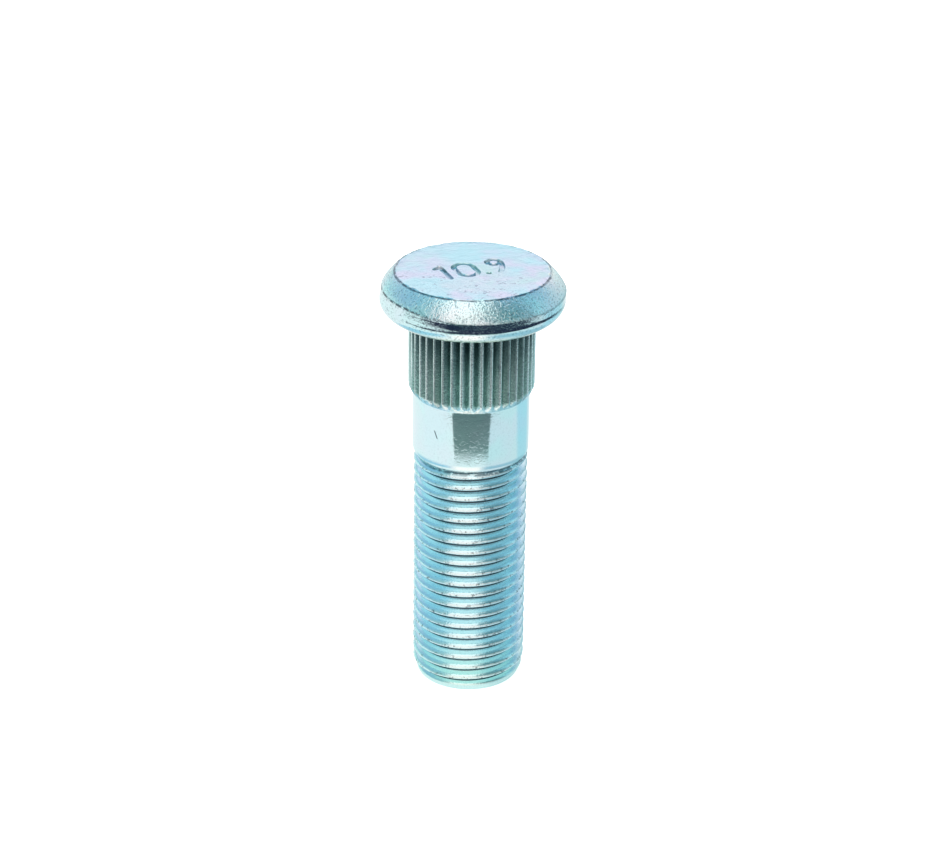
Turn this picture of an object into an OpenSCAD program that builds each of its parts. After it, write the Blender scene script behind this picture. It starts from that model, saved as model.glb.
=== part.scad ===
// Press-in wheel stud: round head, serrated press-fit band, plain shank and rolled thread.
// One cold-formed piece of steel. Millimetres, +Z up.
// The origin is the middle of the flat end that the stud stands on, head upward.

/* [Head] */
// Widest diameter of the head, at its rim
head_d = 19; // [18:0.5:24]
// Diameter of the flat top face
face_d = 15.8; // [13:0.1:16.5]
// Thickness of the head, from the seating face to the top face
head_h = 4.4; // [4.2:0.1:7]
// Height of the bevel below the top face
bevel_h = 1.95; // [1.5:0.05:2.2]
// Outward bulge of the bevel at the middle of its slope
bevel_bulge = 0.12; // [0.02:0.02:0.3]
// Radius of the rim's rounding next to the seating face
rim_r = 1.6; // [1:0.05:1.9]

/* [Strength mark] */
// Height of the stamped numbers
mark_h = 3.8; // [3.2:0.1:4.6]
// Width of the stamped nought
mark_w = 2.56; // [1.6:0.02:2.8]
// Width of a stamped stroke
mark_stroke = 0.55; // [0.3:0.05:0.65]
// Depth of the stamping
mark_depth = 0.3; // [0.1:0.02:0.5]
// Turn of the line of numbers about the stud's axis, in degrees
mark_turn = 22; // [-90:1:90]

/* [Serrations] */
// Diameter over the serrations
serration_d = 13; // [12.9:0.05:14.2]
// Length of the serrated band, with its lead-in taper
serration_len = 8.7; // [5:0.1:12]
// Length of the lead-in taper at the band's lower end
serration_taper = 0.7; // [0.3:0.05:1.5]
// Number of teeth
serration_count = 40; // [24:1:56]
// Depth of a tooth
serration_depth = 0.42; // [0.2:0.02:0.44]

/* [Shank] */
// Diameter of the plain shank
shank_d = 12.1; // [12:0.05:12.4]
// Length of the plain shank, without the cone at its lower end
shank_len = 6.4; // [3:0.1:12]
// Height of the cone between the plain shank and the thread
cone_h = 1; // [0.7:0.05:1.4]

/* [Thread] */
// Outer diameter of the thread
thread_d = 11.9; // [11.7:0.05:11.95]
// Thread pitch
pitch = 1.25; // [1:0.05:1.75]
// Depth of the thread
thread_depth = 0.76; // [0.5:0.02:0.8]
// Length of the thread, with the cone above it and the rounded point
thread_len = 26.5; // [16:0.5:40]
// Height of the lowest groove's middle, on the side towards -Y
groove_z = 1.12; // [0.8:0.01:1.6]

/* [Point] */
// Diameter of the flat end that the stud stands on
point_d = 10.7; // [10:0.1:11.2]
// Height of the rounding at the end of the thread
point_h = 1.9; // [1:0.1:2.5]

/* [Hidden] */
// Fineness of true round surfaces
$fn = 72;
// Depth by which one stretch of the stud runs into the next
lap = 0.3;

// Heights of the ends of the stretches, from the flat end up
cone_z = thread_len - cone_h;
serration_z = thread_len + shank_len;
seat_z = serration_z + serration_len;
face_z = seat_z + head_h;

// The centre of the rim's rounding, and the height of the sharp edge below the bevel
rim_x = head_d/2 - rim_r;
rim_z = seat_z + rim_r;
edge_z = face_z - bevel_h;

// The thread's section: share of the pitch that each flat takes, and the radii
crest_share = 0.16;
root_share = 0.18;
crest_r = thread_d/2;
root_r = crest_r - thread_depth;
// Height share and depth share of the section's corners, going up from the middle of a groove
thread_corners = [
    [root_share/2, 1],
    [(1 - crest_share)/2, 0],
    [(1 + crest_share)/2, 0],
    [1 - root_share/2, 1]
];
// Flat steps in one turn of the thread
thread_steps = 24;
// Height above the flat end at which the thread has its full depth
fade_h = 0.9;
// Radius of the cone's lower end, and of the thread's hidden top inside the cone
cone_r = root_r + lap;

// Share of a tooth's pitch at its crest and at its root
tooth_crest = 0.16;
tooth_root = 0.12;

module head_section() {
    edge = [head_d/2, edge_z];
    face_edge = [face_d/2, face_z];
    slope = edge - face_edge;
    bulge = bevel_bulge*[-slope.y, slope.x]/norm(slope);
    polygon([
        [0, seat_z],
        [rim_x, seat_z],
        [rim_x, rim_z],
        [head_d/2, rim_z],
        edge,
        (edge + face_edge)/2 + bulge,
        face_edge,
        [0, face_z]
    ]);
    intersection() {
        translate([rim_x, rim_z]) circle(r = rim_r);
        translate([rim_x, seat_z]) square(rim_r);
    }
}

// A rounded stroke between two points
module stroke(from, to) {
    along = to - from;
    translate(from) {
        circle(d = mark_stroke);
        rotate(atan2(along.y, along.x))
            translate([0, -mark_stroke/2]) square([norm(along), mark_stroke]);
    }
    translate(to) circle(d = mark_stroke);
}

// An upright loop of one stroke's width: two half rings and two straight sides
module loop_stroke(outer_r, middle_y) {
    difference() {
        union() {
            translate([0, middle_y]) circle(r = outer_r);
            translate([0, -middle_y]) circle(r = outer_r);
            square([2*outer_r, 2*middle_y], center = true);
        }
        translate([0, middle_y]) circle(r = outer_r - mark_stroke);
        translate([0, -middle_y]) circle(r = outer_r - mark_stroke);
        square([2*(outer_r - mark_stroke), 2*middle_y], center = true);
    }
}

// The strength number 10.9 in plain stroke figures, its line along X
module strength_number() {
    half = mark_h/2;
    nought_r = mark_w/2;
    nine_r = mark_w*0.375;
    line_y = mark_h*0.08;
    // figure one, with its short flag
    translate([-mark_w*1.125, line_y]) {
        stroke([0, -half + mark_stroke/2], [0, half - mark_stroke/2]);
        stroke([-mark_w*0.25, half*0.6], [0, half - mark_stroke/2]);
    }
    // figure nought
    translate([-mark_w*0.25, line_y]) loop_stroke(nought_r, half - nought_r);
    // the point
    translate([mark_w*0.475, line_y - half + mark_stroke*0.6]) circle(r = mark_stroke*0.6);
    // figure nine, a ring with a slanting tail
    translate([mark_w*1.075, line_y]) {
        translate([0, half - nine_r]) difference() {
            circle(r = nine_r);
            circle(r = nine_r - mark_stroke);
        }
        stroke([nine_r - mark_stroke/2, half - nine_r], [-nine_r*0.3, -half + mark_stroke/2]);
    }
}

module head() {
    difference() {
        rotate_extrude() head_section();
        translate([0, 0, face_z - mark_depth])
            rotate(mark_turn) linear_extrude(mark_depth + lap) strength_number();
    }
}

// Outline of the serrated band, one root flat and one crest flat for each tooth
function tooth_outline() = [
    for (tooth = [0:serration_count - 1], corner = [0:3])
        let (
            side = corner < 2 ? -1 : 1,
            on_crest = corner == 1 || corner == 2,
            share = on_crest ? tooth_crest/2 : (1 - tooth_root)/2,
            angle = 360*(tooth + side*share)/serration_count,
            radius = serration_d/2 - (on_crest ? 0 : serration_depth)
        )
        radius*[cos(angle), sin(angle)]
];

module serrations() {
    // the lead-in cone runs on past the crests
    over_r = serration_d/2 + lap;
    over_z = serration_z + serration_taper*(over_r - shank_d/2)/(serration_d/2 - shank_d/2);
    intersection() {
        translate([0, 0, serration_z])
            linear_extrude(serration_len + lap) polygon(tooth_outline());
        rotate_extrude() polygon([
            [0, serration_z],
            [shank_d/2, serration_z],
            [over_r, over_z],
            [over_r, seat_z + lap],
            [0, seat_z + lap]
        ]);
    }
}

// Plain shank, with the cone that leads down to the thread
module shank() {
    rotate_extrude() polygon([
        [0, cone_z],
        [cone_r, cone_z],
        [shank_d/2, thread_len],
        [shank_d/2, seat_z + lap],
        [0, seat_z + lap]
    ]);
}

// The thread ends inside the cone, halfway up it
thread_top = cone_z + cone_h/2;
corner_count = len(thread_corners);
low_groove = groove_z - pitch*ceil(groove_z/pitch + 1);
rows = corner_count*ceil((thread_top - low_groove)/pitch);

// Radius over the crests at a height: rounded in at the point, drawn into the cone at the top
function crest_limit(z) =
    z < point_h
        ? crest_r - (crest_r - point_d/2)*pow(1 - z/point_h, 2)
        : crest_r - (crest_r - cone_r)*max(0, (z - cone_z)/(thread_top - cone_z));

// One point of the thread: it climbs a pitch in each turn, and stops at both end planes
function thread_point(step, row) =
    let (
        corner = thread_corners[row % corner_count],
        turn = 360*step/thread_steps,
        climb = pitch*((step/thread_steps + 0.25) % 1),
        free_z = low_groove + climb + pitch*(floor(row/corner_count) + corner[0]),
        z = min(thread_top, max(0, free_z)),
        limit = crest_limit(z),
        full = root_r + (limit - root_r)*(1 - corner[1]),
        fade = min(1, z/fade_h),
        radius = free_z > thread_top ? root_r : limit + (full - limit)*fade
    )
    [radius*cos(turn), radius*sin(turn), z];

module thread() {
    points = [for (step = [0:thread_steps - 1], row = [0:rows]) thread_point(step, row)];
    // after this step the climb falls back by a pitch, so rows one turn apart are joined
    last_step = floor(thread_steps*0.75) - 1;
    function shift(step) = step == last_step ? corner_count : 0;
    function spot(step, row) = (step % thread_steps)*(rows + 1) + min(rows, max(0, row));
    function corners(step, row) = [
        spot(step, row),
        spot(step + 1, row + shift(step)),
        spot(step + 1, row + 1 + shift(step)),
        spot(step, row + 1)
    ];
    function real(face) =
        points[face[0]] != points[face[1]]
        && points[face[1]] != points[face[2]]
        && points[face[2]] != points[face[0]];
    end_middle = len(points);
    top_middle = end_middle + 1;
    sides = [
        for (step = [0:thread_steps - 1], row = [-shift(step):rows - 1])
            let (c = corners(step, row))
            for (face = [[c[0], c[2], c[1]], [c[0], c[3], c[2]]])
                if (real(face)) face
    ];
    caps = [
        for (step = [0:thread_steps - 1])
            for (face = [
                [end_middle, spot(step, 0), spot(step + 1, 0)],
                [top_middle, spot(step + 1, rows), spot(step, rows)]
            ]) face
    ];
    polyhedron(
        points = concat(points, [[0, 0, 0], [0, 0, thread_top]]),
        faces = concat(sides, caps),
        convexity = 10
    );
}

module wheel_stud() {
    color([0.66, 0.80, 0.86]) union() {
        head();
        serrations();
        shank();
        thread();
    }
}

wheel_stud();
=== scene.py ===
"""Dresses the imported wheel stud: turned head, serrations, rolled thread and blue zinc plating."""
import math

import bmesh
import bpy
import numpy as np
from mathutils import Matrix, Vector, noise


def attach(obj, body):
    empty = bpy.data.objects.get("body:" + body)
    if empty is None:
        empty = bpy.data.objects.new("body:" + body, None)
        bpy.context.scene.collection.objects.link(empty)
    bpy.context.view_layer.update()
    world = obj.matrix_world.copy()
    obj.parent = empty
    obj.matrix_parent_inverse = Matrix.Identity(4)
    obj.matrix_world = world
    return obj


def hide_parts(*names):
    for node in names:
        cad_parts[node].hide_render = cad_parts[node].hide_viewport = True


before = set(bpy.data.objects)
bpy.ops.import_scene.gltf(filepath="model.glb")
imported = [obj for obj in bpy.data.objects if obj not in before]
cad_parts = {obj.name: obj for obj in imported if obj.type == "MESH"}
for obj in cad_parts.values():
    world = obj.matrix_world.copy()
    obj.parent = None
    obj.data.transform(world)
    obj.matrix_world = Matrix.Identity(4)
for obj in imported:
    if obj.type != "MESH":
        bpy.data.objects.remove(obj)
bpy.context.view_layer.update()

MM = 0.001

# Sizes in millimetres, as in the part's source. Heights run up from the flat end.
HEAD_R = 9.5
FACE_R = 7.9
FACE_Z = 46.0
SEAT_Z = 41.6
BEVEL_H = 1.95
BEVEL_BULGE = 0.12
RIM_R = 1.6
SEAT_FILLET = 0.18
SERRATION_R = 6.5
SERRATION_Z = 32.9
SERRATION_TAPER = 0.7
SERRATION_DEPTH = 0.42
TEETH = 40
SHANK_R = 6.05
THREAD_Z = 26.5
CONE_H = 1.0
CREST_R = 5.95
THREAD_DEPTH = 0.76
PITCH = 1.25
GROOVE_Z = 1.12
POINT_R = 5.35
POINT_H = 1.9
CORNER_R = 0.22

# Places that follow from these: the bevel's edge, the top of the teeth's lead-in, the thread's
# upper end and root, and the radius where the cone under the shank ends
EDGE_Z = FACE_Z - BEVEL_H
LEAD_Z = SERRATION_Z + SERRATION_TAPER
THREAD_TOP = THREAD_Z - 0.1
ROOT_R = CREST_R - THREAD_DEPTH
CONE_R = ROOT_R + 0.3
# Height over which the thread grows from nothing to its full depth, above the end's corner
THREAD_FADE = 1.0
# Share of a turn at which the side towards the camera lies, where GROOVE_Z counts
NEAR_TURN = 0.75

# Radii within which the flat face and the flat end are joined to one polygon each
FACE_FLAT_R = 7.0
END_FLAT_R = 4.0
# Rows of the face inside its crease, and of the seat between the rim and the fillet
FACE_ROWS = (0.0, 5.0, FACE_FLAT_R, 7.6)
SEAT_ROW = 7.2
# A fine crease round the face, where the forging die met: steps out from its edge, and depths
CREASE = [(-0.1, 0.0), (-0.06, 0.06), (0.0, 0.07), (0.05, 0.05)]
# The turn from bevel to rim: steps in from the head's radius, and steps up from the edge
ROLLED_EDGE = [(0.035, 0.035), (0.012, 0.0), (0.004, -0.05)]
# Steps down the bevel, and the share of its length left free at each end
BEVEL_STEPS = 16
BEVEL_MARGIN = 0.03
# How far outside the teeth's crests the fillet ends, and the band's rows stand before the cut
FILLET_GAP = 0.12
BAND_GAP = 0.2
# How far above the lead-in its first row stands
LEAD_ABOVE = 0.12

# Columns of the turned sheet for each tooth, in teeth from the middle of its crest
TOOTH_COLUMNS = (-0.085, 0.0, 0.085, 0.29, 0.5, 0.71)
# Rows in one pitch, counted from the middle of a groove
PITCH_ROWS = (0.0, 0.08, 0.15, 0.26, 0.33, 0.37, 0.42, 0.46, 0.54, 0.58, 0.63, 0.67, 0.85, 0.92)
# What each point of the sheet carries into the tree
SHEET_VALUES = ("turn", "radius", "height", "serrated", "threaded")


def arc(centre, radius, start, end, steps):
    """Points on an arc about centre, in degrees from the outward direction, upward positive."""
    angles = [math.radians(start + (end - start) * i / steps) for i in range(steps + 1)]
    return [(centre[0] + radius * math.cos(a), centre[1] + radius * math.sin(a)) for a in angles]


def straight(start, end, steps):
    """Points from start to end, without the start itself."""
    return [
        tuple(s + (e - s) * i / steps for s, e in zip(start, end))
        for i in range(1, steps + 1)
    ]


def crest_limit(z):
    """Radius over the thread's crests at a height, drawn in at the rounded point."""
    if z >= POINT_H:
        return CREST_R
    return CREST_R - (CREST_R - POINT_R) * (1 - z / POINT_H) ** 2


def head_rows():
    """Radius and height from the middle of the face down to the fillet under the head."""
    rim_centre = (HEAD_R - RIM_R, SEAT_Z + RIM_R)
    slope = Vector((HEAD_R - FACE_R, -BEVEL_H))
    out = Vector((-slope.y, slope.x)).normalized()
    rows = [(r, FACE_Z) for r in FACE_ROWS]
    rows += [(FACE_R + step, FACE_Z - depth) for step, depth in CREASE]
    for i in range(1, BEVEL_STEPS):
        t = BEVEL_MARGIN + (1 - 2 * BEVEL_MARGIN) * i / BEVEL_STEPS
        place = Vector((FACE_R, FACE_Z)) + slope * t + out * BEVEL_BULGE * 4 * t * (1 - t)
        rows.append((place.x, place.y))
    rows += [(HEAD_R - step, EDGE_Z + rise) for step, rise in ROLLED_EDGE]
    rows += straight(rows[-1], (HEAD_R - 0.03, rim_centre[1] + 0.1), 5)
    rows += arc(rim_centre, RIM_R, -3, -88, 20)
    rows += straight(rows[-1], (SEAT_ROW, SEAT_Z), 2)
    fillet_centre = (SERRATION_R + FILLET_GAP + SEAT_FILLET, SEAT_Z - SEAT_FILLET)
    return rows + arc(fillet_centre, SEAT_FILLET, 90, 180, 4)


def teeth_rows():
    """Radius and height down the serrated band, outside its crests until the tree cuts it."""
    heights = np.linspace(SEAT_Z - 0.24, LEAD_Z + 0.25, 14)
    rows = [(SERRATION_R + BAND_GAP, float(z)) for z in heights]
    for i in range(8):
        z = LEAD_Z + LEAD_ABOVE - (SERRATION_TAPER + LEAD_ABOVE) * i / 7
        rows.append((SHANK_R + (SERRATION_R - SHANK_R) * (z - SERRATION_Z) / SERRATION_TAPER, z))
    return rows


def shank_rows():
    """Radius and height down the plain shank, with a first step in to the thread."""
    heights = np.linspace(SERRATION_Z - 0.05, THREAD_Z + 0.06, 16)
    return [(SHANK_R, float(z)) for z in heights] + [(SHANK_R - 0.012, THREAD_Z)]


def thread_heights():
    """Heights of the thread's rows before they are wound, enough for both of its ends."""
    first = math.ceil(THREAD_TOP / PITCH) + 1
    return [
        PITCH * (turn + share) for turn in range(first, -3, -1) for share in reversed(PITCH_ROWS)
    ]


def end_rows():
    """Radius and height round the point's corner and in to the middle of the flat end."""
    centre = (crest_limit(CORNER_R) - CORNER_R, CORNER_R)
    return arc(centre, CORNER_R, -12, -90, 5) + [(END_FLAT_R, 0.0), (0.0, 0.0)]


def turned_profile():
    """Rows down the outline: radius, height, share of the serrations, share of the thread."""
    return (
        [(r, z, 0.0, 0.0) for r, z in head_rows()]
        + [(r, z, 1.0, 0.0) for r, z in teeth_rows()]
        + [(r, z, 0.0, 0.0) for r, z in shank_rows()]
        + [(0.0, z, 0.0, 1.0) for z in thread_heights()]
        + [(r, z, 0.0, 0.0) for r, z in end_rows()]
    )


def turned_sheet(profile):
    """A flat sheet of columns and rows that carries what the tree needs to wrap it."""
    turns = [
        (tooth + place) / TEETH for tooth in range(TEETH) for place in TOOTH_COLUMNS
    ] + [1.0 + TOOTH_COLUMNS[0] / TEETH]
    rows, columns = len(profile), len(turns)
    mesh = bpy.data.meshes.new("turned_sheet")
    spots = [(turn, -row / rows, 0.0) for turn in turns for row in range(rows)]
    faces = [
        (c * rows + r, c * rows + r + 1, (c + 1) * rows + r + 1, (c + 1) * rows + r)
        for c in range(columns - 1)
        for r in range(rows - 1)
    ]
    mesh.from_pydata(spots, [], faces)
    carried = [(turn, r * MM, z * MM, teeth, thread)
               for turn in turns for r, z, teeth, thread in profile]
    for name, data in zip(SHEET_VALUES, zip(*carried)):
        mesh.attributes.new(name, "FLOAT", "POINT").data.foreach_set("value", data)
    return mesh


class Rule:
    """Writes arithmetic as nodes, in a geometry tree or a shader tree."""

    def __init__(self, tree):
        self.tree = tree

    def node(self, kind, **settings):
        """A new node with its settings."""
        made = self.tree.nodes.new(kind)
        for name, value in settings.items():
            setattr(made, name, value)
        return made

    def feed(self, socket, value):
        """Gives a socket another node's output, or a constant."""
        if isinstance(value, bpy.types.NodeSocket):
            self.tree.links.new(value, socket)
        else:
            socket.default_value = value

    def math(self, operation, *values):
        """One step of arithmetic."""
        made = self.node("ShaderNodeMath", operation=operation)
        for socket, value in zip(made.inputs, values):
            self.feed(socket, value)
        return made.outputs[0]

    def add(self, a, b):
        return self.math("ADD", a, b)

    def less(self, a, b):
        return self.math("SUBTRACT", a, b)

    def over(self, a, b):
        return self.math("DIVIDE", a, b)

    def times(self, first, *others):
        """The product of all values given."""
        for value in others:
            first = self.math("MULTIPLY", first, value)
        return first

    def most(self, first, *others):
        """The largest of all values given."""
        for value in others:
            first = self.math("MAXIMUM", first, value)
        return first

    def total(self, base, *shares):
        """base, plus each mask times its amount."""
        for mask, amount in shares:
            base = self.add(base, self.times(mask, amount))
        return base

    def distance(self, x, y):
        """Distance from the stud's axis."""
        return self.math("SQRT", self.add(self.times(x, x), self.times(y, y)))

    def between(self, value, start, full, soft=True):
        """0 up to start and 1 from full on, which may lie below it, and a climb between them."""
        made = self.node(
            "ShaderNodeMapRange",
            interpolation_type="SMOOTHSTEP" if soft else "LINEAR",
        )
        self.feed(made.inputs["Value"], value)
        self.feed(made.inputs["From Min"], start)
        self.feed(made.inputs["From Max"], full)
        return made.outputs["Result"]

    def blend(self, share, a, b):
        """a where share is 0 and b where it is 1."""
        return self.add(a, self.times(share, self.less(b, a)))

    def curve(self, value, points):
        """Height of a line through the points, straight from one to the next."""
        made = self.node("ShaderNodeFloatCurve")
        line = made.mapping.curves[0]
        for place, height in points[1:-1]:
            line.points.new(place, height)
        line.points[0].location = points[0]
        line.points[-1].location = points[-1]
        for point in line.points:
            point.handle_type = "VECTOR"
        made.mapping.update()
        self.feed(made.inputs["Value"], value)
        return made.outputs[0]


# Sizes that the tree takes by name, in metres, apart from the count of the teeth
TREE_SIZES = {
    "Teeth": TEETH,
    "Serration radius": SERRATION_R * MM,
    "Serration depth": SERRATION_DEPTH * MM,
    "Pitch": PITCH * MM,
    "Groove height": GROOVE_Z * MM,
    "Crest radius": CREST_R * MM,
    "Thread depth": THREAD_DEPTH * MM,
    "Thread top": THREAD_TOP * MM,
    "Thread foot": CORNER_R * MM,
    "Fade height": THREAD_FADE * MM,
    "Cone top": THREAD_Z * MM,
    "Cone height": CONE_H * MM,
    "Shank radius": SHANK_R * MM,
    "Cone radius": CONE_R * MM,
    "Point radius": POINT_R * MM,
    "Point height": POINT_H * MM,
}
# Depth of a groove from its middle (0) to the middle of a crest (1): rounded root, flat crest
THREAD_SECTION = [
    (0.0, 1.0), (0.08, 0.99), (0.16, 0.94), (0.3, 0.73), (0.52, 0.40), (0.66, 0.19),
    (0.74, 0.09), (0.84, 0.015), (0.92, 0.0), (1.0, 0.0),
]
# Depth of a tooth's side from the middle of its crest (0) to the middle of its root (1)
TOOTH_SECTION = [(0.0, 0.0), (0.17, 0.09), (0.58, 0.55), (1.0, 1.0)]
# Points closer than this are welded, and edges that turn by more than this stay sharp
WELD = 0.0005
SHARP_DEGREES = 50


def toothed_radius(rule, given, turn):
    """Radius of the serrated band at a turn, from a crest down to a root and up again."""
    across = rule.times(rule.math("PINGPONG", rule.times(turn, given["Teeth"]), 0.5), 2.0)
    cut = rule.curve(across, TOOTH_SECTION)
    return rule.less(given["Serration radius"], rule.times(cut, given["Serration depth"]))


def wound_height(rule, given, turn, height):
    """Height of a thread row: it climbs a pitch in a turn and stops at the thread's two ends."""
    wound = rule.add(height, rule.times(given["Pitch"], turn))
    wound = rule.math("MAXIMUM", given["Thread foot"], wound)
    return rule.math("MINIMUM", given["Thread top"], wound)


def screw_radius(rule, given, turn, up):
    """Radius of the thread, shallow at the rounded point and ended by the shank's cone."""
    count = rule.over(rule.less(up, given["Groove height"]), given["Pitch"])
    place = rule.less(rule.less(count, turn), 1.0 - NEAR_TURN)
    groove = rule.curve(rule.times(rule.math("PINGPONG", place, 0.5), 2.0), THREAD_SECTION)
    fade = rule.over(rule.less(up, given["Thread foot"]), given["Fade height"])
    fade = rule.math("MINIMUM", 1.0, fade)
    short = rule.math("MAXIMUM", 0.0, rule.less(1.0, rule.over(up, given["Point height"])))
    drawn_in = rule.times(rule.less(given["Crest radius"], given["Point radius"]),
                          rule.times(short, short))
    limit = rule.less(given["Crest radius"], drawn_in)
    screw = rule.less(limit, rule.times(groove, fade, given["Thread depth"]))
    slope = rule.over(rule.less(given["Shank radius"], given["Cone radius"]), given["Cone height"])
    cone = rule.less(given["Shank radius"], rule.times(slope, rule.less(given["Cone top"], up)))
    return rule.math("MAXIMUM", screw, cone)


def stud_tree():
    """The tree that wraps the turned sheet, cuts the serrations and winds the thread."""
    tree = bpy.data.node_groups.new("stud_surface", "GeometryNodeTree")
    face = tree.interface
    face.new_socket("Geometry", in_out="INPUT", socket_type="NodeSocketGeometry")
    for name, value in TREE_SIZES.items():
        face.new_socket(name, in_out="INPUT", socket_type="NodeSocketFloat").default_value = value
    face.new_socket("Finish", in_out="INPUT", socket_type="NodeSocketMaterial")
    face.new_socket("Geometry", in_out="OUTPUT", socket_type="NodeSocketGeometry")
    rule = Rule(tree)
    given = rule.node("NodeGroupInput").outputs

    def attribute(name):
        made = rule.node("GeometryNodeInputNamedAttribute", data_type="FLOAT")
        made.inputs["Name"].default_value = name
        return made.outputs["Attribute"]

    turn, radius, height, serrated, threaded = (attribute(name) for name in SHEET_VALUES)
    toothed = rule.math("MINIMUM", radius, toothed_radius(rule, given, turn))
    turned = rule.blend(serrated, radius, toothed)
    up = rule.blend(threaded, height, wound_height(rule, given, turn, height))
    out = rule.blend(threaded, turned, screw_radius(rule, given, turn, up))

    angle = rule.times(turn, 2 * math.pi)
    spot = rule.node("ShaderNodeCombineXYZ")
    rule.feed(spot.inputs["X"], rule.times(out, rule.math("COSINE", angle)))
    rule.feed(spot.inputs["Y"], rule.times(out, rule.math("SINE", angle)))
    rule.feed(spot.inputs["Z"], up)
    wrap = rule.node("GeometryNodeSetPosition")
    rule.feed(wrap.inputs["Geometry"], given["Geometry"])
    rule.feed(wrap.inputs["Position"], spot.outputs[0])
    close = rule.node("GeometryNodeMergeByDistance")
    rule.feed(close.inputs["Geometry"], wrap.outputs[0])
    close.inputs["Distance"].default_value = WELD * MM
    real = rule.node("GeometryNodeRealizeInstances")
    rule.feed(real.inputs[0], close.outputs[0])
    finish = rule.node("GeometryNodeSetMaterial")
    rule.feed(finish.inputs["Geometry"], real.outputs[0])
    rule.feed(finish.inputs["Material"], given["Finish"])
    end = rule.node("NodeGroupOutput")
    rule.feed(end.inputs[0], finish.outputs[0])
    return tree


def wound_stud(material):
    """The whole stud as one plain mesh, before its stamping and its small dents."""
    blank = bpy.data.objects.new("stud_blank", turned_sheet(turned_profile()))
    bpy.context.scene.collection.objects.link(blank)
    tree = stud_tree()
    winding = blank.modifiers.new("stud_surface", "NODES")
    winding.node_group = tree
    for item in tree.interface.items_tree:
        if item.in_out == "INPUT" and item.name in TREE_SIZES:
            winding[item.identifier] = float(TREE_SIZES[item.name])
        elif item.in_out == "INPUT" and item.name == "Finish":
            winding[item.identifier] = material
    made = blank.evaluated_get(bpy.context.evaluated_depsgraph_get())
    mesh = bpy.data.meshes.new_from_object(made)
    bpy.data.objects.remove(blank)
    for name in SHEET_VALUES:
        if name in mesh.attributes:
            mesh.attributes.remove(mesh.attributes[name])
    return mesh


# The strength number on the head, in millimetres along and across its line: figures' height and
# width, stroke, depth, how far a trench's wall leans, and the line's turn and lift
MARK_H = 3.8
MARK_W = 2.56
MARK_STROKE = 0.55
MARK_DEPTH = 0.32
MARK_LEAN = 0.06
MARK_TURN = 22.0
MARK_LIFT = 0.08 * MARK_H
# Middles of the one, the nought, the point and the nine, and the radius of the nine's ring, in
# figure widths
MARK_PLACES = (-1.125, -0.25, 0.475, 1.075)
NINE_RING = 0.375
# How far a punch stands out above the face
PUNCH_ABOVE = 0.1


def ring_path(centre_y, half_length, radius, steps=28):
    """A closed upright loop: two half rings joined by straight sides."""
    path = []
    for i in range(steps):
        a = 2 * math.pi * i / steps
        shift = half_length if math.sin(a) >= 0 else -half_length
        path.append((radius * math.cos(a), centre_y + shift + radius * math.sin(a)))
    return path


def nine_tail(ring_r, half, inset):
    """The nine's tail, from the right of its ring down to the line, swinging to the left."""
    drop = MARK_H - ring_r - inset
    return [
        (ring_r - inset - 0.07 * t - 0.9 * t * t * ring_r, half - ring_r - t * drop)
        for t in (0, 0.2, 0.4, 0.6, 0.8, 1.0)
    ]


def mark_strokes():
    """Every stroke of the number 10.9: its path, and whether it closes on itself."""
    half = MARK_H / 2
    inset = MARK_STROKE / 2
    nought_r = MARK_W / 2
    nine_r = MARK_W * NINE_RING
    one, nought, point, nine = (MARK_W * place for place in MARK_PLACES)

    def shifted(path, x):
        return [(px + x, py + MARK_LIFT) for px, py in path]

    return [
        (shifted([(-MARK_W * 0.25, half * 0.6), (0, half - inset)], one), False),
        (shifted([(0, half - inset), (0, -half + inset)], one), False),
        (shifted(ring_path(0, half - nought_r, nought_r - inset), nought), True),
        (shifted([(0, -half + inset), (0.02, -half + inset + 0.02)], point), False),
        (shifted(ring_path(half - nine_r, 0, nine_r - inset), nine), True),
        (shifted(nine_tail(nine_r, half, inset), nine), False),
    ]


def round_cap(point, across, steps=8):
    """The directions round an open stroke's end, from one side to the other."""
    return [
        (point, Matrix.Rotation(math.pi * k / steps, 2) @ across) for k in range(1, steps)
    ]


def stroke_outlines(path, closed):
    """A stroke's outlines as points of its path with the direction to the wall beside each."""
    points = [Vector(p) for p in path]
    last = len(points) - 1
    right = []
    for i, p in enumerate(points):
        if closed:
            along = points[(i + 1) % len(points)] - points[i - 1]
        else:
            along = points[min(i + 1, last)] - points[max(i - 1, 0)]
        right.append((p, Vector((along.y, -along.x)).normalized()))
    if closed:
        return [right, [(p, -n) for p, n in right]]
    left = [(p, -n) for p, n in reversed(right)]
    return [right + round_cap(*right[-1]) + left + round_cap(*left[-1])]


def punch(path, closed):
    """A solid that cuts one stroke: a trench with leaning walls and round ends."""
    sole, mouth = MARK_STROKE / 2 - MARK_LEAN, MARK_STROKE / 2 + MARK_LEAN
    low, high = FACE_Z - MARK_DEPTH, FACE_Z + PUNCH_ABOVE
    work = bmesh.new()
    loops = []
    for outline in stroke_outlines(path, closed):
        lower = [work.verts.new((*(p + n * sole), low)) for p, n in outline]
        upper = [work.verts.new((*(p + n * mouth), high)) for p, n in outline]
        for i in range(len(outline)):
            j = (i + 1) % len(outline)
            work.faces.new((lower[i], lower[j], upper[j], upper[i]))
        loops.append((lower, upper))
    if closed:
        for outer, inner in zip(*loops):
            for i in range(len(outer)):
                j = (i + 1) % len(outer)
                work.faces.new((outer[i], outer[j], inner[j], inner[i]))
    else:
        for level in loops[0]:
            work.faces.new(level)
    bmesh.ops.recalc_face_normals(work, faces=work.faces)
    turn = Matrix.Rotation(math.radians(MARK_TURN), 4, "Z")
    bmesh.ops.transform(work, matrix=Matrix.Scale(MM, 4) @ turn, verts=work.verts)
    mesh = bpy.data.meshes.new("punch")
    work.to_mesh(mesh)
    work.free()
    return mesh


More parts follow.
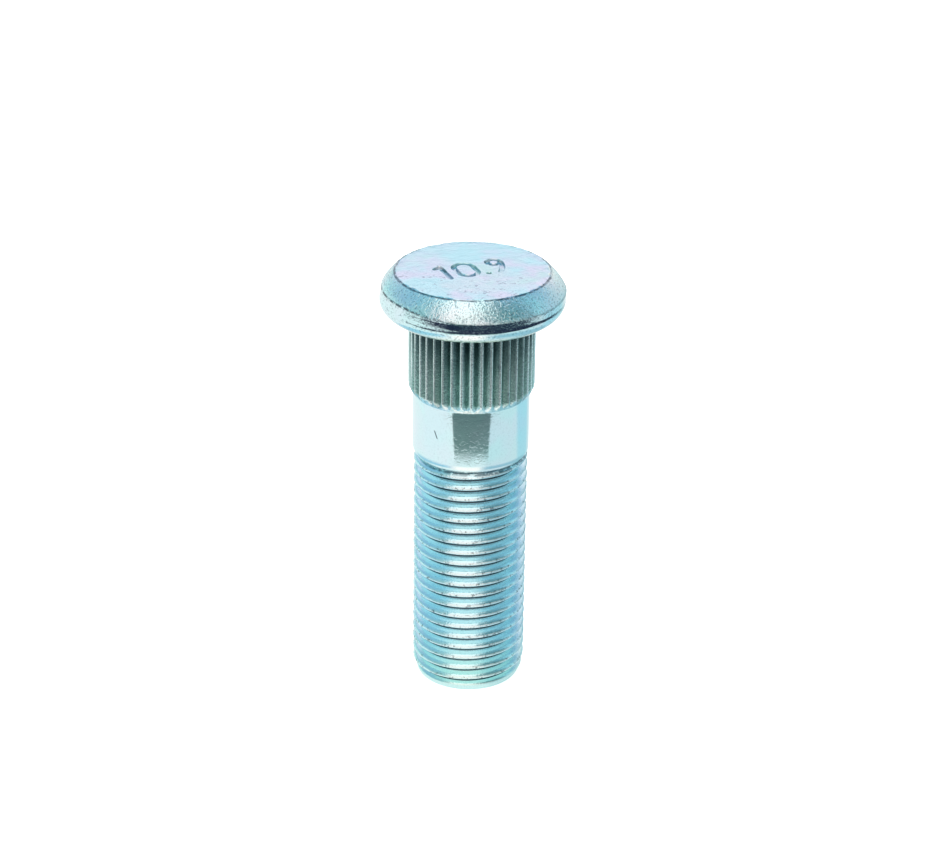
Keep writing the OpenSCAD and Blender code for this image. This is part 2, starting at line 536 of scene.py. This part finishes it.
def plain_ends(mesh):
    """Makes the flat face and the flat end one polygon each, without the fans in their middles."""
    work = bmesh.new()
    work.from_mesh(mesh)
    for height, row in ((FACE_Z, FACE_FLAT_R), (0.0, END_FLAT_R)):
        reach = (row + 0.1) * MM
        inner = [
            f for f in work.faces
            if all(abs(v.co.z - height * MM) < 1e-6 and v.co.xy.length < reach for v in f.verts)
        ]
        bmesh.ops.dissolve_faces(work, faces=inner, use_verts=True)
    work.to_mesh(mesh)
    work.free()


def stamp(stud):
    """Cuts the strength number into the head's face."""
    for path, closed in mark_strokes():
        tool = bpy.data.objects.new("punch", punch(path, closed))
        bpy.context.scene.collection.objects.link(tool)
        cut = stud.modifiers.new("cut", "BOOLEAN")
        cut.operation = "DIFFERENCE"
        cut.solver = "EXACT"
        cut.object = tool
        made = stud.evaluated_get(bpy.context.evaluated_depsgraph_get())
        mesh = bpy.data.meshes.new_from_object(made)
        stud.modifiers.remove(cut)
        stud.data = mesh
        bpy.data.objects.remove(tool)


# The bevel's edge on the left: how far up and in it lies, and where that starts and is full, as
# shares of the radius
EDGE_UP = 0.34
EDGE_IN = 0.24
LEFT_START = 0.1
LEFT_FULL = 0.7
# Height over which the edge's unevenness dies away, and the most that a tooth's end is torn
EDGE_SPREAD = 0.75
TORN_END = 0.16


def edge_move(x, y, z, r):
    """Moves out and up on the bevel, whose edge wanders and lies higher and further in on the left."""
    wave = noise.noise(Vector((x * 0.55, y * 0.55, 3.1)))
    fine = noise.noise(Vector((x * 2.6, y * 2.6, z * 2.6 + 9.0)))
    near_edge = math.exp(-(((z - EDGE_Z) / EDGE_SPREAD) ** 2))
    left = min(1.0, max(0.0, -x / r - LEFT_START) / (LEFT_FULL - LEFT_START)) * near_edge
    move_out = min(-0.006, (0.03 * wave + 0.02 * fine) * near_edge) - EDGE_IN * left
    move_up = min(0.06 * wave * near_edge + EDGE_UP * left, FACE_Z - z)
    if z > FACE_Z - 0.2:
        move_out += 0.07 * wave + 0.05 * fine
        move_up = min(0.0, 0.03 * fine - 0.01)
    return move_out, move_up


def tooth_end_move(x, y, z):
    """Moves out and up at the ragged lower ends of the teeth."""
    torn = noise.noise(Vector((x * 1.9, y * 1.9, 21.0)))
    return 0.0, TORN_END * torn * min(1.0, (LEAD_Z + 0.2 - z) / 0.3)


def crest_move(x, y, z):
    """Moves out and up on the thread's crests, closed by rolling and a little uneven."""
    torn = noise.noise(Vector((x * 1.6, y * 1.6, z * 2.4)))
    return min(0.0, 0.03 * torn - 0.008), 0.0


def roughen(mesh):
    """Small dents, burrs and unevenness of a cold-formed and tumbled piece."""
    spots = np.zeros(len(mesh.vertices) * 3, np.float32)
    mesh.vertices.foreach_get("co", spots)
    spots = spots.reshape(-1, 3)
    for spot in spots:
        x, y, z = (float(v) / MM for v in spot)
        r = math.hypot(x, y)
        if r > FACE_R - 0.15 and z > SEAT_Z + 0.6:
            move_out, move_up = edge_move(x, y, z, r)
        elif abs(z - SERRATION_Z - 0.3) < 0.6 and r > SHANK_R + 0.02:
            move_out, move_up = tooth_end_move(x, y, z)
        elif CORNER_R < z < THREAD_Z - 1.0 and r > CREST_R - 0.1:
            move_out, move_up = crest_move(x, y, z)
        else:
            continue
        spot[0] += x / r * move_out * MM
        spot[1] += y / r * move_out * MM
        spot[2] += move_up * MM
    mesh.vertices.foreach_set("co", spots.reshape(-1))
    mesh.update()


# Shader work for the zinc plating

# Tints of the zinc, and painted shade and painted highlights on it, in the order in which they lie:
# how strong each is, and its colour
TINTS_AND_PAINTED_LIGHT = {
    "underside": (0.8, (0.82, 0.86, 0.74, 1)),
    "back_of_face": (0.6, (0.54, 0.95, 0.96, 1)),
    "thread": (0.75, (0.575, 0.885, 0.96, 1)),
    "thread_foot": (0.6, (0.62, 0.93, 0.86, 1)),
    # painted highlight on the rolled thread's crests
    "thread_crest_highlight": (0.3, (0.86, 0.96, 0.97, 1)),
    # painted shade in the thread's roots, and a painted dark reflection on its neck
    "root_shade": (1.0, (0.015, 0.05, 0.08, 1)),
    # painted highlight on the teeth's crests
    "tooth_crest_highlight": (0.7, (0.84, 0.99, 0.95, 1)),
    "tooth_streaks": (0.5, (0.16, 0.34, 0.32, 1)),
    # painted shade in the valleys between the teeth, and a deeper painted shadow under the head
    "valley_shade": (0.64, (0.24, 0.50, 0.41, 1)),
    "shadow_under_head": (0.9, (0.06, 0.13, 0.14, 1)),
    # painted shade in the stamped figures
    "figures": (0.45, (0.20, 0.26, 0.32, 1)),
    "scuffs": (0.7, (0.30, 0.36, 0.46, 1)),
    # painted shade in the crease round the face
    "crease_shade": (0.85, (0.04, 0.08, 0.13, 1)),
    "marks": (1.0, (0.03, 0.05, 0.07, 1)),
    "dark_grains": (1.0, (0.16, 0.28, 0.33, 1)),
}
# How dark the painted shade in the thread's roots and the painted dark reflection on its neck are, and
# the burrs, the bevel's edge and the nick
ROOT_SHADE = 0.92
NECK_SHADE = 0.6
BURR_MARK = 0.6
EDGE_MARK = 0.9
NICK_MARK = 0.85
# The nick on the front of the shank: its middle, and how far it leans to the left going up
NICK_X = -3.55
NICK_Z = 29.9
NICK_LEAN = -0.35
# Height of the skin's bumps in millimetres, and how strongly they tilt what it reflects
SKIN_BUMP = 0.03
SKIN_STRENGTH = 0.8


def shader_group(name, inputs, outputs):
    """An empty shader group with named sockets, and the rule writer for it."""
    group = bpy.data.node_groups.new(name, "ShaderNodeTree")
    kinds = {"value": "NodeSocketFloat", "colour": "NodeSocketColor", "vector": "NodeSocketVector"}
    for label, (kind, value) in inputs.items():
        socket = group.interface.new_socket(label, in_out="INPUT", socket_type=kinds[kind])
        if value is not None:
            socket.default_value = value
    for label, kind in outputs.items():
        group.interface.new_socket(label, in_out="OUTPUT", socket_type=kinds[kind])
    rule = Rule(group)
    return group, rule, rule.node("NodeGroupInput").outputs, rule.node("NodeGroupOutput").inputs


def bare_material(name):
    """A material with an empty tree, and the rule writer for it."""
    material = bpy.data.materials.new(name)
    material.use_nodes = True
    material.node_tree.nodes.clear()
    return material, Rule(material.node_tree)


def grain(rule, place, scale, detail=2.0, rough=0.5):
    """Noise at a scale in lumps per metre."""
    made = rule.node("ShaderNodeTexNoise")
    rule.feed(made.inputs["Vector"], place)
    made.inputs["Scale"].default_value = scale
    made.inputs["Detail"].default_value = detail
    made.inputs["Roughness"].default_value = rough
    return made.outputs["Fac"]


def mixed(rule, share, a, b):
    """Colour a where share is 0 and b where it is 1."""
    made = rule.node("ShaderNodeMix", data_type="RGBA")
    rule.feed(made.inputs["Factor"], share)
    rule.feed(made.inputs["A"], a)
    rule.feed(made.inputs["B"], b)
    return made.outputs["Result"]


def layered(rule, colour, layers):
    """A colour under layers of colour, each laid over the ones before it by its share."""
    for share, overlay in layers:
        colour = mixed(rule, share, colour, overlay)
    return colour


def passivate_tint():
    """Drifting cyan, lilac and mint of a thin clear film over zinc."""
    group, rule, given, result = shader_group(
        "passivate_tint",
        {
            "Place": ("vector", None),
            "Zinc": ("colour", (0.68, 0.90, 0.92, 1)),
            "Cyan": ("colour", (0.54, 0.95, 0.96, 1)),
            "Lilac": ("colour", (0.78, 0.82, 0.94, 1)),
            "Mint": ("colour", (0.62, 0.94, 0.88, 1)),
            "Amount": ("value", 0.6),
        },
        {"Colour": "colour"},
    )
    amount = given["Amount"]
    drift = grain(rule, given["Place"], 170.0)
    other = grain(rule, given["Place"], 320.0)
    rule.feed(result["Colour"], layered(rule, given["Zinc"], [
        (rule.times(amount, rule.between(drift, 0.42, 0.62)), given["Cyan"]),
        (rule.times(amount, rule.between(other, 0.40, 0.66)), given["Lilac"]),
        (rule.times(amount, rule.between(drift, 0.44, 0.34)), given["Mint"]),
    ]))
    return group


def forged_skin():
    """Dents, pits and fine speckle of a forged and plated surface, as heights from 0 to 1."""
    group, rule, given, result = shader_group(
        "forged_skin",
        {
            "Place": ("vector", None),
            "Dents": ("value", 0.5),
            "Pits": ("value", 0.5),
            "Grit": ("value", 0.5),
        },
        {"Height": "value", "Speck": "value"},
    )
    place = given["Place"]
    dents = grain(rule, place, 1100.0, 3.0, 0.6)
    pits = rule.between(grain(rule, place, 2600.0, 2.0, 0.55), 0.6, 0.5)
    fine = grain(rule, place, 5000.0, 2.0, 0.65)
    height = rule.total(
        rule.times(dents, given["Dents"]), (pits, given["Pits"]), (fine, given["Grit"]))
    rule.feed(result["Height"], height)
    rule.feed(result["Speck"], fine)
    return group


class Zones:
    """Where a point of the stud lies, and its share in each stretch of it.

    place and metres are in metres, and x, y, z and the distance r from the axis in millimetres.
    """

    def __init__(self, rule):
        self.place = rule.node("ShaderNodeTexCoord").outputs["Object"]
        parts = rule.node("ShaderNodeSeparateXYZ")
        rule.feed(parts.inputs[0], self.place)
        self.metres = parts.outputs
        x, y, z = (rule.over(self.metres[i], MM) for i in range(3))
        r = rule.distance(x, y)
        self.x, self.y, self.z, self.r = x, y, z, r
        self.head = rule.between(z, SEAT_Z - 0.1, SEAT_Z + 0.1)
        self.face = rule.times(rule.between(z, FACE_Z - 0.4, FACE_Z - 0.3),
                               rule.between(r, FACE_R + 0.05, FACE_R - 0.05))
        self.bevel = rule.times(rule.between(z, EDGE_Z - 0.15, EDGE_Z + 0.15),
                                rule.less(1.0, self.face))
        self.rim = rule.times(rule.between(z, SEAT_Z + 0.8, SEAT_Z + 1.2),
                              rule.between(z, EDGE_Z + 0.05, EDGE_Z - 0.25))
        self.teeth = rule.times(rule.between(z, SERRATION_Z - 0.1, SERRATION_Z + 0.2),
                                rule.between(z, SEAT_Z, SEAT_Z - 0.1))
        self.shank = rule.times(rule.between(z, THREAD_Z - 0.4, THREAD_Z - 0.1),
                                rule.between(z, SERRATION_Z + 0.1, SERRATION_Z - 0.2))
        self.thread = rule.between(z, THREAD_Z - 0.3, THREAD_Z - 0.9)


def head_masks(rule, at, ragged):
    """Where the tints of the head lie, and the painted shade in its figures and in the crease round
    its face.
    """
    # painted shade in the stamped figures, darker on their walls than on their soles
    sole_z = FACE_Z - MARK_DEPTH
    above_sole = rule.between(at.z, sole_z + 0.02, sole_z + 0.06)
    figures = rule.times(
        rule.between(at.z, FACE_Z - 0.04, FACE_Z - 0.12), at.face,
        rule.total(0.35, (above_sole, 0.65)), rule.between(at.r, 6.4, 6.2))
    scuffed = grain(rule, at.place, 1300.0, 4.0, 0.75)
    return {
        "underside": rule.times(rule.between(at.z, SEAT_Z + 0.9, SEAT_Z + 0.3), at.head),
        "back_of_face": rule.times(at.face, rule.between(at.y, -1.0, 7.0)),
        "figures": figures,
        "scuffs": rule.times(
            at.face, rule.between(at.y, 0.5, -3.0), rule.between(scuffed, 0.57, 0.66)),
        # painted shade along the crease round the face
        "crease_shade": rule.times(
            rule.between(at.r, FACE_R - 0.2, FACE_R - 0.14),
            rule.between(at.r, FACE_R + 0.18, FACE_R + 0.07),
            rule.between(at.z, FACE_Z - 0.015, FACE_Z - 0.05),
            rule.between(at.z, FACE_Z - 0.2, FACE_Z - 0.12),
            rule.between(ragged, 0.28, 0.58)),
    }


def teeth_masks(rule, at):
    """Where the tints and painted light of the serrated band lie: painted highlights on the crests,
    painted shade in the valleys, deepest as painted shadow under the head, and streaks by which no two
    of its teeth are alike.
    """
    lengthwise = rule.node("ShaderNodeCombineXYZ")
    rule.feed(lengthwise.inputs["X"], at.metres[0])
    rule.feed(lengthwise.inputs["Y"], at.metres[1])
    rule.feed(lengthwise.inputs["Z"], rule.times(at.metres[2], 0.1))
    streaked = grain(rule, lengthwise.outputs[0], 700.0, 3.0, 0.65)
    # painted shade in the valleys; below the head it deepens to a painted shadow
    valley_shade = rule.times(
        at.teeth, rule.between(at.r, SERRATION_R - 0.03, SERRATION_R - 0.16),
        rule.between(at.z, SERRATION_Z + 0.35, SERRATION_Z + 0.9))
    under_head = rule.times(at.teeth, rule.between(at.z, SEAT_Z - 6.1, SEAT_Z - 0.6))
    return {
        # painted highlight on the teeth's crests
        "tooth_crest_highlight": rule.times(
            at.teeth, rule.between(at.r, SERRATION_R - 0.09, SERRATION_R - 0.04)),
        "tooth_streaks": rule.times(rule.between(streaked, 0.46, 0.62), at.teeth),
        "valley_shade": valley_shade,
        "shadow_under_head": rule.times(valley_shade, under_head),
    }


def thread_masks(rule, at, ragged):
    """Where the tint of the thread lies, with the painted highlight on its crests, the painted shade
    in its roots and the painted dark reflection on its neck under the shank.
    """
    # painted shade in the root, and a ragged painted dark reflection on the neck under the shank
    root = rule.times(at.thread, rule.between(at.r, ROOT_R + 0.095, ROOT_R + 0.025))
    neck = rule.times(
        rule.between(at.z, THREAD_Z - 0.95, THREAD_Z - 0.75),
        rule.between(at.z, THREAD_Z - 0.25, THREAD_Z - 0.4),
        rule.between(at.r, SHANK_R - 0.1, SHANK_R - 0.2),
        rule.between(ragged, 0.36, 0.5))
    return {
        "thread": at.thread,
        "thread_foot": rule.times(at.thread, rule.between(at.z, 7.0, 1.0)),
        # painted highlight on the thread's crests
        "thread_crest_highlight": rule.times(
            at.thread, rule.between(at.r, CREST_R - 0.14, CREST_R - 0.05)),
        "root_shade": rule.most(rule.times(root, ROOT_SHADE), rule.times(neck, NECK_SHADE)),
    }


def sharp_marks(rule, at, ragged):
    """Short dark marks: burrs on the thread, a line along the bevel's edge, a nick on the shank."""
    burr = rule.times(
        at.thread, rule.between(at.r, CREST_R - 0.2, CREST_R - 0.04),
        rule.between(grain(rule, at.place, 2300.0, 3.0, 0.75), 0.55, 0.62))
    # the bevel's edge lies higher on the left, and its line is darker there
    leftward = rule.between(rule.over(at.x, at.r), -LEFT_START, -LEFT_FULL, soft=False)
    from_edge = rule.less(at.z, rule.total(EDGE_Z, (leftward, EDGE_UP)))
    edge = rule.times(
        rule.between(rule.math("ABSOLUTE", from_edge), 0.16, 0.06),
        rule.between(at.r, HEAD_R - 0.6, HEAD_R - 0.4),
        rule.between(ragged, 0.40, 0.52),
        rule.total(0.35, (leftward, 0.65)))
    above = rule.less(at.z, NICK_Z)
    beside = rule.less(rule.less(at.x, NICK_X), rule.times(above, NICK_LEAN))
    nick = rule.times(
        rule.between(rule.math("ABSOLUTE", beside), 0.09, 0.03),
        rule.between(rule.math("ABSOLUTE", above), 0.5, 0.3),
        at.shank, rule.between(at.y, -4.0, -4.5))
    return rule.most(
        rule.times(burr, BURR_MARK), rule.times(edge, EDGE_MARK), rule.times(nick, NICK_MARK))


def blue_zinc():
    """Bright zinc with a blue clear passivate, with painted shade in its hollows and painted
    highlights on its crests.
    """
    material, rule = bare_material("blue_zinc")
    at = Zones(rule)
    teeth_or_thread = rule.most(at.thread, at.teeth)
    shank_or_thread = rule.most(at.shank, at.thread)

    skin = rule.node("ShaderNodeGroup", node_tree=forged_skin())
    rule.feed(skin.inputs["Place"], at.place)
    rule.feed(skin.inputs["Dents"],
              rule.total(0.1, (at.head, 0.5), (at.shank, -0.07), (at.face, 1.1)))
    rule.feed(skin.inputs["Pits"], rule.total(0.04, (at.bevel, 0.55)))
    rule.feed(skin.inputs["Grit"], rule.total(
        0.45, (at.bevel, 1.2), (teeth_or_thread, 0.3), (at.shank, -0.41), (at.face, -0.1)))

    tint = rule.node("ShaderNodeGroup", node_tree=passivate_tint())
    rule.feed(tint.inputs["Place"], at.place)
    rule.feed(tint.inputs["Amount"], rule.total(0.3, (at.face, 0.5)))

    ragged = grain(rule, at.place, 1700.0, 3.0, 0.7)
    grains = rule.total(
        0.25, (at.head, 0.3), (at.bevel, 0.12), (at.face, -0.47), (shank_or_thread, -0.17))
    masks = {
        **head_masks(rule, at, ragged),
        **teeth_masks(rule, at),
        **thread_masks(rule, at, ragged),
        "marks": sharp_marks(rule, at, ragged),
        "dark_grains": rule.times(rule.between(skin.outputs["Speck"], 0.46, 0.34), grains),
    }
    layers = [
        (rule.times(masks[name], strength), overlay) for name, (strength, overlay) in TINTS_AND_PAINTED_LIGHT.items()
    ]
    rough = rule.total(
        0.15, (grain(rule, at.place, 900.0), 0.12), (at.teeth, 0.05), (at.shank, -0.14),
        (at.rim, -0.09))

    bump = rule.node("ShaderNodeBump")
    bump.inputs["Distance"].default_value = SKIN_BUMP * MM
    bump.inputs["Strength"].default_value = SKIN_STRENGTH
    rule.feed(bump.inputs["Height"], skin.outputs["Height"])
    surface = rule.node("ShaderNodeBsdfPrincipled")
    surface.inputs["Metallic"].default_value = 1.0
    rule.feed(surface.inputs["Base Color"], layered(rule, tint.outputs["Colour"], layers))
    rule.feed(surface.inputs["Roughness"], rough)
    rule.feed(surface.inputs["Normal"], bump.outputs["Normal"])
    end = rule.node("ShaderNodeOutputMaterial")
    rule.feed(end.inputs["Surface"], surface.outputs[0])
    return material


# The stage: a white table, and a light tent with a window above the camera

WHITE = (1.0, 1.0, 1.0, 1)
TABLE_HALF = 1.5
TABLE_GREY = (0.8, 0.8, 0.8, 1)
TABLE_GLOW = 0.62
# What lies beyond the paper, close to its edge, far from it and beside the stud's back
SHADE_NEAR = (0.19, 0.26, 0.25, 1)
SHADE_FAR = (0.012, 0.02, 0.05, 1)
SHADE_SIDE = (0.36, 0.47, 0.50, 1)
# Reach of the white paper in front of the stud, in millimetres, and how much further it goes
# round it: by bearing, as a share of half a turn from the front, the share of that added reach
PAPER_FRONT = 62.5
PAPER_MORE = 340.0
REACH_LEFT = [
    (0.0, 0.0), (0.165, 0.0), (0.205, 0.04), (0.3, 0.055), (0.37, 0.11), (0.47, 0.26), (0.55, 1.0),
    (1.0, 1.0),
]
REACH_RIGHT = [
    (0.0, 0.0), (0.18, 0.0), (0.22, 0.04), (0.35, 0.06), (0.5, 0.13), (0.65, 0.15), (1.0, 0.15),
]
# What the paper gives back to the stud: bright in front, and a bluer sky at its sides
NEAR_FRONT = (1.46, 1.16, 1.08, 1)
NEAR_LEFT = (0.43, 0.69, 0.83, 1)
NEAR_RIGHT = (0.38, 0.58, 0.68, 1)
FAR_RIGHT = (0.76, 0.84, 0.87, 1)
BACK_RIGHT = (0.52, 0.77, 0.86, 1)


def ray(rule, kind):
    """1 for rays of one kind and 0 for others."""
    return rule.node("ShaderNodeLightPath").outputs[kind]


def paper_mirrored(rule):
    """The table as the stud's metal reflects it, by place in millimetres about the stud's axis."""
    parts = rule.node("ShaderNodeSeparateXYZ")
    rule.feed(parts.inputs[0], rule.node("ShaderNodeTexCoord").outputs["Object"])
    x, y = (rule.over(parts.outputs[i], MM) for i in range(2))
    away = rule.distance(x, y)
    across = rule.over(x, away)
    bearing = rule.over(rule.math("ARCTAN2", x, rule.times(y, -1.0)), math.pi)

    close_by = rule.between(away, 56.0, 44.0)
    in_front = rule.times(close_by, rule.between(y, -6.5, -14.0))
    around = rule.times(close_by, rule.between(away, 16.0, 30.0), rule.between(y, 40.0, 24.0))
    behind_right = rule.times(rule.between(across, 0.5, 0.75), rule.between(y, 4.0, 18.0))
    paper = layered(rule, WHITE, [
        (in_front, NEAR_FRONT),
        (rule.times(around, rule.between(across, -0.35, -0.85)), NEAR_LEFT),
        (rule.between(across, 0.25, 0.65), FAR_RIGHT),
        (behind_right, BACK_RIGHT),
        (rule.times(around, rule.between(across, 0.15, 0.65)), NEAR_RIGHT),
    ])

    to_left = rule.curve(rule.math("MAXIMUM", 0.0, rule.times(bearing, -1.0)), REACH_LEFT)
    to_right = rule.curve(rule.math("MAXIMUM", 0.0, bearing), REACH_RIGHT)
    reach = rule.add(PAPER_FRONT, rule.times(rule.add(to_left, to_right), PAPER_MORE))
    beyond = rule.times(rule.between(rule.less(away, reach), -1.0, 1.0),
                        rule.between(away, 250.0, 170.0))
    shade = layered(rule, SHADE_NEAR, [
        (rule.between(away, PAPER_FRONT + 2.0, PAPER_FRONT + 34.0), SHADE_FAR),
        (rule.between(rule.math("ABSOLUTE", bearing), 0.62, 0.8), SHADE_SIDE),
    ])
    return mixed(rule, beyond, paper, shade)


def white_paper():
    """Paper that takes shadows, and that the stud's metal sees by its own colours."""
    material, rule = bare_material("white_paper")
    glow = rule.node("ShaderNodeEmission")
    rule.feed(glow.inputs["Color"], paper_mirrored(rule))
    lit = rule.node("ShaderNodeBsdfDiffuse")
    lit.inputs["Color"].default_value = TABLE_GREY
    own = rule.node("ShaderNodeEmission")
    own.inputs["Strength"].default_value = TABLE_GLOW
    both = rule.node("ShaderNodeAddShader")
    rule.feed(both.inputs[0], lit.outputs[0])
    rule.feed(both.inputs[1], own.outputs[0])
    pick = rule.node("ShaderNodeMixShader")
    rule.feed(pick.inputs[0], ray(rule, "Is Glossy Ray"))
    rule.feed(pick.inputs[1], both.outputs[0])
    rule.feed(pick.inputs[2], glow.outputs[0])
    end = rule.node("ShaderNodeOutputMaterial")
    rule.feed(end.inputs["Surface"], pick.outputs[0])
    return material


def table_top():
    """The table under the stud, wider than the picture."""
    mesh = bpy.data.meshes.new("table")
    half = TABLE_HALF
    mesh.from_pydata([(-half, -half, 0), (half, -half, 0), (half, half, 0), (-half, half, 0)],
                     [], [(0, 1, 2, 3)])
    mesh.materials.append(white_paper())
    table = bpy.data.objects.new("table", mesh)
    bpy.context.scene.collection.objects.link(table)


# Colours of the tent by direction: the room on the camera's side, and the walls behind the stud
# with their upper and low parts, a low band, skirting and seam, and the window's pane
ROOM_LEFT = (0.37, 0.57, 0.59, 1)
ROOM_RIGHT = (0.15, 0.28, 0.31, 1)
UPPER_LEFT = (0.32, 0.57, 0.72, 1)
UPPER_RIGHT = (0.23, 0.43, 0.60, 1)
LOW_MIDDLE = (1.22, 1.05, 1.15, 1)
LOW_SIDES = (0.34, 0.52, 0.68, 1)
LOW_BAND = (0.36, 0.53, 0.66, 1)
LOW_LEFT = (0.66, 0.95, 0.92, 1)
SKIRTING = (0.92, 1.0, 0.97, 1)
SEAM = (0.48, 0.84, 0.90, 1)
PANE_LOW = (1.28, 1.05, 1.0, 1)
PANE_HIGH = (1.55, 1.42, 1.38, 1)


def tent_walls(rule, x, y, z):
    """The walls behind the stud, bright low in the middle, and the duller room before it."""
    to_right = rule.between(x, -0.5, 0.5)
    aside = rule.math("ABSOLUTE", x)
    skirting = rule.times(rule.between(z, 0.2, 0.08), rule.between(aside, 0.6, 0.4))
    by_left = rule.times(rule.between(x, -0.35, -0.7), rule.between(z, 0.35, 0.1))
    low = mixed(rule, rule.between(aside, 0.35, 0.85), LOW_MIDDLE, LOW_SIDES)
    low = mixed(rule, rule.between(z, 0.22, 0.43), LOW_BAND, low)
    low = layered(rule, low, [(skirting, SKIRTING), (by_left, LOW_LEFT)])
    upper = mixed(rule, to_right, UPPER_LEFT, UPPER_RIGHT)
    wall = mixed(rule, rule.between(z, 0.45, 0.62), low, upper)
    room = mixed(rule, to_right, ROOM_LEFT, ROOM_RIGHT)
    walls = mixed(rule, rule.between(y, -0.3, 0.05), room, wall)
    seam = rule.times(
        rule.between(y, -0.06, 0.02), rule.between(y, 0.26, 0.16), rule.between(x, 0.5, 0.7), 0.9)
    return mixed(rule, seam, walls, SEAM)


def tent_window(rule, x, y, z):
    """Share of the window, between a slanting left edge and a right one that comes in higher up."""
    left = rule.less(rule.times(y, 0.55), 0.3)
    right = rule.blend(rule.between(z, 0.3, 0.58), 1.2, 0.30)
    return rule.times(
        rule.between(rule.less(x, left), -0.05, 0.06), rule.between(x, right, 0.1),
        rule.between(z, -0.02, 0.1))


def light_tent():
    """The world: plain white to the camera, and to reflections a pale tent that opens in front."""
    world = bpy.data.worlds.new("light_tent")
    bpy.context.scene.world = world
    world.use_nodes = True
    world.node_tree.nodes.clear()
    rule = Rule(world.node_tree)
    parts = rule.node("ShaderNodeSeparateXYZ")
    rule.feed(parts.inputs[0], rule.node("ShaderNodeTexCoord").outputs["Generated"])
    x, y, z = (parts.outputs[i] for i in range(3))
    pane = mixed(rule, rule.between(z, 0.70, 0.88), PANE_LOW, PANE_HIGH)
    seen = layered(rule, tent_walls(rule, x, y, z), [
        (tent_window(rule, x, y, z), pane),
        (rule.most(ray(rule, "Is Diffuse Ray"), ray(rule, "Is Camera Ray")), WHITE),
    ])
    sky = rule.node("ShaderNodeBackground")
    rule.feed(sky.inputs["Color"], seen)
    end = rule.node("ShaderNodeOutputWorld")
    rule.feed(end.inputs["Surface"], sky.outputs[0])


def lamp(name, place, size, power, aim):
    """A square lamp that lights without showing in the metal."""
    data = bpy.data.lights.new(name, "AREA")
    data.size = size
    data.energy = power
    light = bpy.data.objects.new(name, data)
    light.location = place
    light.visible_glossy = False
    light.rotation_euler = (Vector(aim) - Vector(place)).to_track_quat("-Z", "Y").to_euler()
    bpy.context.scene.collection.objects.link(light)


# Camera, from the head's two ellipses, the serrations and twenty thread grooves in the picture
CAMERA_ELEVATION = 25.754
CAMERA_DISTANCE = 261.916
CAMERA_TARGET_Z = FACE_Z - 17.875
CAMERA_SHIFT_X = -0.186
CAMERA_ROLL = -0.729
FOCAL_PIXELS = 2527.07
PICTURE_WIDTH = 938
SENSOR_WIDTH = 36


def place_camera():
    """Sets the camera where the picture was taken from, with its slight roll."""
    lean, roll = math.radians(CAMERA_ELEVATION), math.radians(CAMERA_ROLL)
    back = Vector((0, -math.cos(lean), math.sin(lean)))
    spot = Vector((CAMERA_SHIFT_X, 0, CAMERA_TARGET_Z)) + back * CAMERA_DISTANCE
    right, up = Vector((1, 0, 0)), Vector((0, math.sin(lean), math.cos(lean)))
    turned_right = right * math.cos(roll) - up * math.sin(roll)
    turned_up = right * math.sin(roll) + up * math.cos(roll)
    data = bpy.data.cameras.new("camera")
    data.sensor_width = SENSOR_WIDTH
    data.lens = FOCAL_PIXELS / PICTURE_WIDTH * SENSOR_WIDTH
    data.clip_start = 0.01
    camera = bpy.data.objects.new("camera", data)
    axes = Matrix((turned_right, turned_up, back)).transposed().to_4x4()
    camera.matrix_world = Matrix.Translation(spot * MM) @ axes
    bpy.context.scene.collection.objects.link(camera)
    bpy.context.scene.camera = camera


place_camera()
table_top()
light_tent()
lamp("top_softbox", place=(-0.10, -0.12, 0.42), size=0.30, power=1.2, aim=(0, 0, 0.02))

stud = bpy.data.objects.new("plated_stud", wound_stud(blue_zinc()))
bpy.context.scene.collection.objects.link(stud)
plain_ends(stud.data)
stamp(stud)
roughen(stud.data)
stud.data.shade_smooth()
stud.data.set_sharp_from_angle(angle=math.radians(SHARP_DEGREES))
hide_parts("wheel_stud")
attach(stud, "root")

bpy.context.scene.view_settings.view_transform = "Standard"
